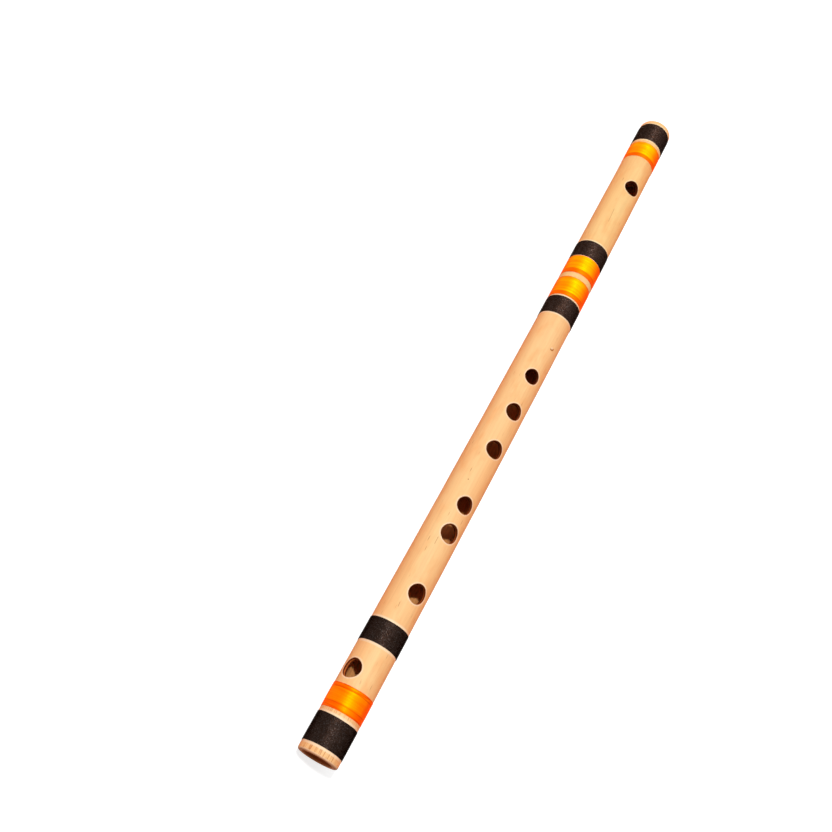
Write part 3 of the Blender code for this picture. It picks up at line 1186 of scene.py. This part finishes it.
def cork_pits(length, radius):
    """Pits in the cork's side and faces, as (middle, how far it reaches, depth as a share of that)."""
    chance = random.Random(PIT_SEED)
    pits = []
    for _ in range(PIT_COUNT):
        turn = chance.uniform(0, math.tau)
        if chance.random() < PITS_IN_FACES:
            pit_radius = radius * math.sqrt(chance.random())
            along = chance.choice((0.0, length))
        else:
            pit_radius = radius
            along = chance.uniform(0, length)
        centre = Vector((along, pit_radius * math.sin(turn), pit_radius * math.cos(turn)))
        pits.append((centre, chance.uniform(*PIT_REACH), chance.uniform(*PIT_DEPTH)))
    return pits


def cork_draft(cork):
    """A cork turned to the bore, with pits in its side and its faces."""
    low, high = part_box("cork_stopper")
    length = high.x - low.x
    radius = (high.z - low.z) / 2
    middle_y = (low.y + high.y) / 2
    draft = Draft("pit")
    pits = cork_pits(length, radius)

    def pitted(point):
        """The point sunk towards the cork's middle where pits are, and how dark, from 0 to 1."""
        sunk = 0.0
        for centre, reach, depth in pits:
            away = (point - centre).length / reach
            if away < 1:
                sunk = max(sunk, depth * reach * (1 - away**2))
        inwards = Vector((length / 2, 0, 0)) - point
        return point + inwards.normalized() * sunk, min(1.0, sunk / PIT_DARK_DEPTH)

    rings = []
    for along, ring_radius in cork_section(length, radius, cork.chamfer):
        ring = []
        for number in range(CORK_AROUND):
            turn = math.tau * number / CORK_AROUND
            point = Vector((along, ring_radius * math.sin(turn), ring_radius * math.cos(turn)))
            point, pit = pitted(point)
            place = (low.x + point.x, middle_y + point.y, AXIS_HEIGHT + point.z)
            ring.append(draft.add(place, pit=pit))
        rings.append(ring)
    for first, second in zip(rings, rings[1:]):
        for here in range(CORK_AROUND):
            after = (here + 1) % CORK_AROUND
            draft.faces.append((first[here], second[here], second[after], first[after]))
    for ring, along in ((rings[0], 0.0), (rings[-1], length)):
        centre = draft.add((low.x + along, middle_y, AXIS_HEIGHT))
        for here in range(CORK_AROUND):
            after = (here + 1) % CORK_AROUND
            corners = (ring[here], ring[after], centre)
            draft.faces.append(corners if along == 0.0 else tuple(reversed(corners)))
    return draft


def cork_material(cork):
    """Raw cork, dark in its pores and pits."""
    material, tree, shader = new_material("raw_cork", Metallic=0.0, Specular_IOR_Level=0.25)
    place = object_place(tree)
    grain = noise(tree, place, CORK_GRAIN)
    colour = mix(tree, grain, times(cork.colour, 0.8), cork.colour)
    dark = calculate(tree, "MAXIMUM", noise(tree, place, PORES), share_of(tree, "pit"))
    colour = mix(tree, calculate(tree, "MULTIPLY", dark, 0.8), colour, cork.pit_colour)
    rough = grade(tree, grain, at_none=0.75, at_full=0.95)
    normal = bump(tree, grain, strength=0.5, depth=0.0001)
    dress(tree, shader, Base_Color=colour, Roughness=rough, Normal=normal)
    return material


# The studio


class BansuriStudio(bpy.types.PropertyGroup):
    """Levels of the studio's lights, and its floor"""

    key_level: FloatProperty(
        name="Key light",
        description="How bright the small key light makes a white surface that faces it",
        default=0.70,
        min=0.0,
    )
    fill_level: FloatProperty(
        name="Fill light",
        description="How bright the wide fill light makes a white surface that faces it",
        default=0.24,
        min=0.0,
    )
    head_level: FloatProperty(
        name="Head light",
        description="How bright the low light past the head makes a white surface that faces it",
        default=0.14,
        min=0.0,
    )
    sky_level: FloatProperty(
        name="Sky",
        description="How bright the even light from all round makes a white surface",
        default=0.12,
        min=0.0,
    )
    floor_colour: FloatVectorProperty(
        name="Floor",
        description="Colour of the floor",
        default=(0.46, 0.46, 0.46),
        **AS_COLOUR,
    )
    floor_lift: FloatProperty(
        name="Floor lift",
        description="What the floor adds of its own where it is looked at, to come out white",
        default=0.76,
        min=0.0,
    )


def add_lamp(name, level, spread, turn, lean):
    """A far lamp of a spread in degrees, at a turn round the flute, leaning towards its head."""
    lamp = bpy.data.lights.new(name, "SUN")
    lamp.energy = level * math.pi
    lamp.angle = math.radians(spread)
    turn, lean = math.radians(turn), math.radians(lean)
    across = math.cos(lean)
    direction = Vector((math.sin(lean), across * math.sin(turn), across * math.cos(turn)))
    sun = bpy.data.objects.new(name, lamp)
    sun.rotation_mode = "QUATERNION"
    sun.rotation_quaternion = direction.to_track_quat("Z", "Y")
    bpy.context.scene.collection.objects.link(sun)


def looked_at(tree):
    """1 for what the camera sees, also in a mirror or through glass."""
    rays = add_node(tree, "ShaderNodeLightPath").outputs
    names = ("Is Camera Ray", "Is Glossy Ray", "Is Transmission Ray")
    return calculate(tree, "MAXIMUM", *(rays[name] for name in names))


def make_floor(studio):
    """A pale floor that comes out white, with the flute's shadow on it."""
    material, tree, shader = new_material(
        "white_floor",
        Base_Color=studio.floor_colour,
        Roughness=0.9,
        Specular_IOR_Level=0.1,
        Emission_Color=(1.0, 1.0, 1.0),
    )
    lift = calculate(tree, "MULTIPLY", looked_at(tree), studio.floor_lift)
    dress(tree, shader, Emission_Strength=lift)
    reach = FLOOR_REACH
    mesh = bpy.data.meshes.new("floor")
    corners = [(-reach, -reach, 0), (reach, -reach, 0), (reach, reach, 0), (-reach, reach, 0)]
    mesh.from_pydata(corners, [], [(0, 1, 2, 3)])
    mesh.materials.append(material)
    floor = bpy.data.objects.new("floor", mesh)
    bpy.context.scene.collection.objects.link(floor)


def make_sky(studio):
    """An even white world, which shows as plain white behind the flute."""
    world = bpy.data.worlds.new("studio")
    world.use_nodes = True
    tree = world.node_tree
    strength = grade(tree, looked_at(tree), at_none=studio.sky_level, at_full=1.0)
    dress(tree, tree.nodes["Background"], Color=(1.0, 1.0, 1.0), Strength=strength)
    bpy.context.scene.world = world


def make_camera():
    """The camera, at the photograph's viewing angle."""
    camera = bpy.data.cameras.new("camera")
    camera.lens = CAMERA_LENS
    camera.sensor_width = CAMERA_SENSOR
    camera.shift_x, camera.shift_y = CAMERA_SHIFT
    camera.clip_start, camera.clip_end = CAMERA_CLIP
    stand = bpy.data.objects.new("camera", camera)
    stand.location = CAMERA_PLACE
    aim = (Vector(CAMERA_AIM) - Vector(CAMERA_PLACE)).to_track_quat("-Z", "Y")
    stand.rotation_mode = "QUATERNION"
    stand.rotation_quaternion = aim @ Quaternion((0.0, 0.0, 1.0), CAMERA_ROLL)
    bpy.context.scene.collection.objects.link(stand)
    bpy.context.scene.camera = stand


# Operators, one for each kind of piece and one for the studio


class BANSURI_OT_cane(bpy.types.Operator):
    """Make the bored cane with its burnt holes"""

    bl_idname = "bansuri.cane"
    bl_label = "Make the cane"

    def execute(self, context):
        cane = context.scene.bansuri_cane
        piece = new_piece("cane", cane_draft(cane), cane_material(cane), sharp_degrees=40)
        stand_for(piece, "bamboo_tube", "flute")
        return {"FINISHED"}


class BANSURI_OT_cotton_bindings(bpy.types.Operator):
    """Wind the black cotton bindings"""

    bl_idname = "bansuri.cotton_bindings"
    bl_label = "Wind the black cotton"

    def execute(self, context):
        thread = context.scene.bansuri_thread
        wind_bindings(COTTON, thread.cotton_thickness, thread.waviness, cotton_material(thread))
        return {"FINISHED"}


class BANSURI_OT_silk_bindings(bpy.types.Operator):
    """Wind the orange silk bindings"""

    bl_idname = "bansuri.silk_bindings"
    bl_label = "Wind the orange silk"

    def execute(self, context):
        thread = context.scene.bansuri_thread
        wind_bindings(SILK, thread.silk_thickness, thread.waviness, silk_material(thread))
        return {"FINISHED"}


class BANSURI_OT_stopper(bpy.types.Operator):
    """Make the cork that closes the bore past the blow hole"""

    bl_idname = "bansuri.stopper"
    bl_label = "Make the cork stopper"

    def execute(self, context):
        cork = context.scene.bansuri_cork
        piece = new_piece("cork", cork_draft(cork), cork_material(cork), sharp_degrees=50)
        stand_for(piece, "cork_stopper", "stopper")
        return {"FINISHED"}


class BANSURI_OT_studio(bpy.types.Operator):
    """Make the floor, the lights and the camera"""

    bl_idname = "bansuri.studio"
    bl_label = "Make the studio"

    def execute(self, context):
        studio = context.scene.bansuri_studio
        make_floor(studio)
        make_sky(studio)
        add_lamp("key", studio.key_level, spread=5, turn=24, lean=9)
        add_lamp("fill", studio.fill_level, spread=50, turn=-5, lean=20)
        add_lamp("head_light", studio.head_level, spread=44, turn=30, lean=42)
        make_camera()
        context.scene.view_settings.view_transform = "Standard"
        return {"FINISHED"}


class BANSURI_PT_panel(bpy.types.Panel):
    """The flute's pieces, with their sizes and colours"""

    bl_idname = "BANSURI_PT_panel"
    bl_label = "Bansuri"
    bl_space_type = "VIEW_3D"
    bl_region_type = "UI"
    bl_category = "Bansuri"

    def draw(self, context):
        for title, group, operators in PANEL_SECTIONS:
            box = self.layout.box()
            box.label(text=title)
            settings = getattr(context.scene, group)
            for name in type(settings).__annotations__:
                box.prop(settings, name)
            for operator in operators:
                box.operator(operator.bl_idname)


PANEL_SECTIONS = (
    ("Cane", "bansuri_cane", (BANSURI_OT_cane,)),
    ("Bindings", "bansuri_thread", (BANSURI_OT_cotton_bindings, BANSURI_OT_silk_bindings)),
    ("Stopper", "bansuri_cork", (BANSURI_OT_stopper,)),
    ("Studio", "bansuri_studio", (BANSURI_OT_studio,)),
)
SETTINGS = {
    "bansuri_cane": BansuriCane,
    "bansuri_thread": BansuriThread,
    "bansuri_cork": BansuriCork,
    "bansuri_studio": BansuriStudio,
}
CLASSES = (
    *SETTINGS.values(),
    BANSURI_OT_cane,
    BANSURI_OT_cotton_bindings,
    BANSURI_OT_silk_bindings,
    BANSURI_OT_stopper,
    BANSURI_OT_studio,
    BANSURI_PT_panel,
)


def register():
    for item in CLASSES:
        bpy.utils.register_class(item)
    for name, group in SETTINGS.items():
        setattr(bpy.types.Scene, name, PointerProperty(type=group))


def unregister():
    for name in SETTINGS:
        delattr(bpy.types.Scene, name)
    for item in reversed(CLASSES):
        bpy.utils.unregister_class(item)


def main():
    register()
    bpy.ops.bansuri.cane()
    bpy.ops.bansuri.cotton_bindings()
    bpy.ops.bansuri.silk_bindings()
    bpy.ops.bansuri.stopper()
    bpy.ops.bansuri.studio()


if __name__ == "__main__":
    main()
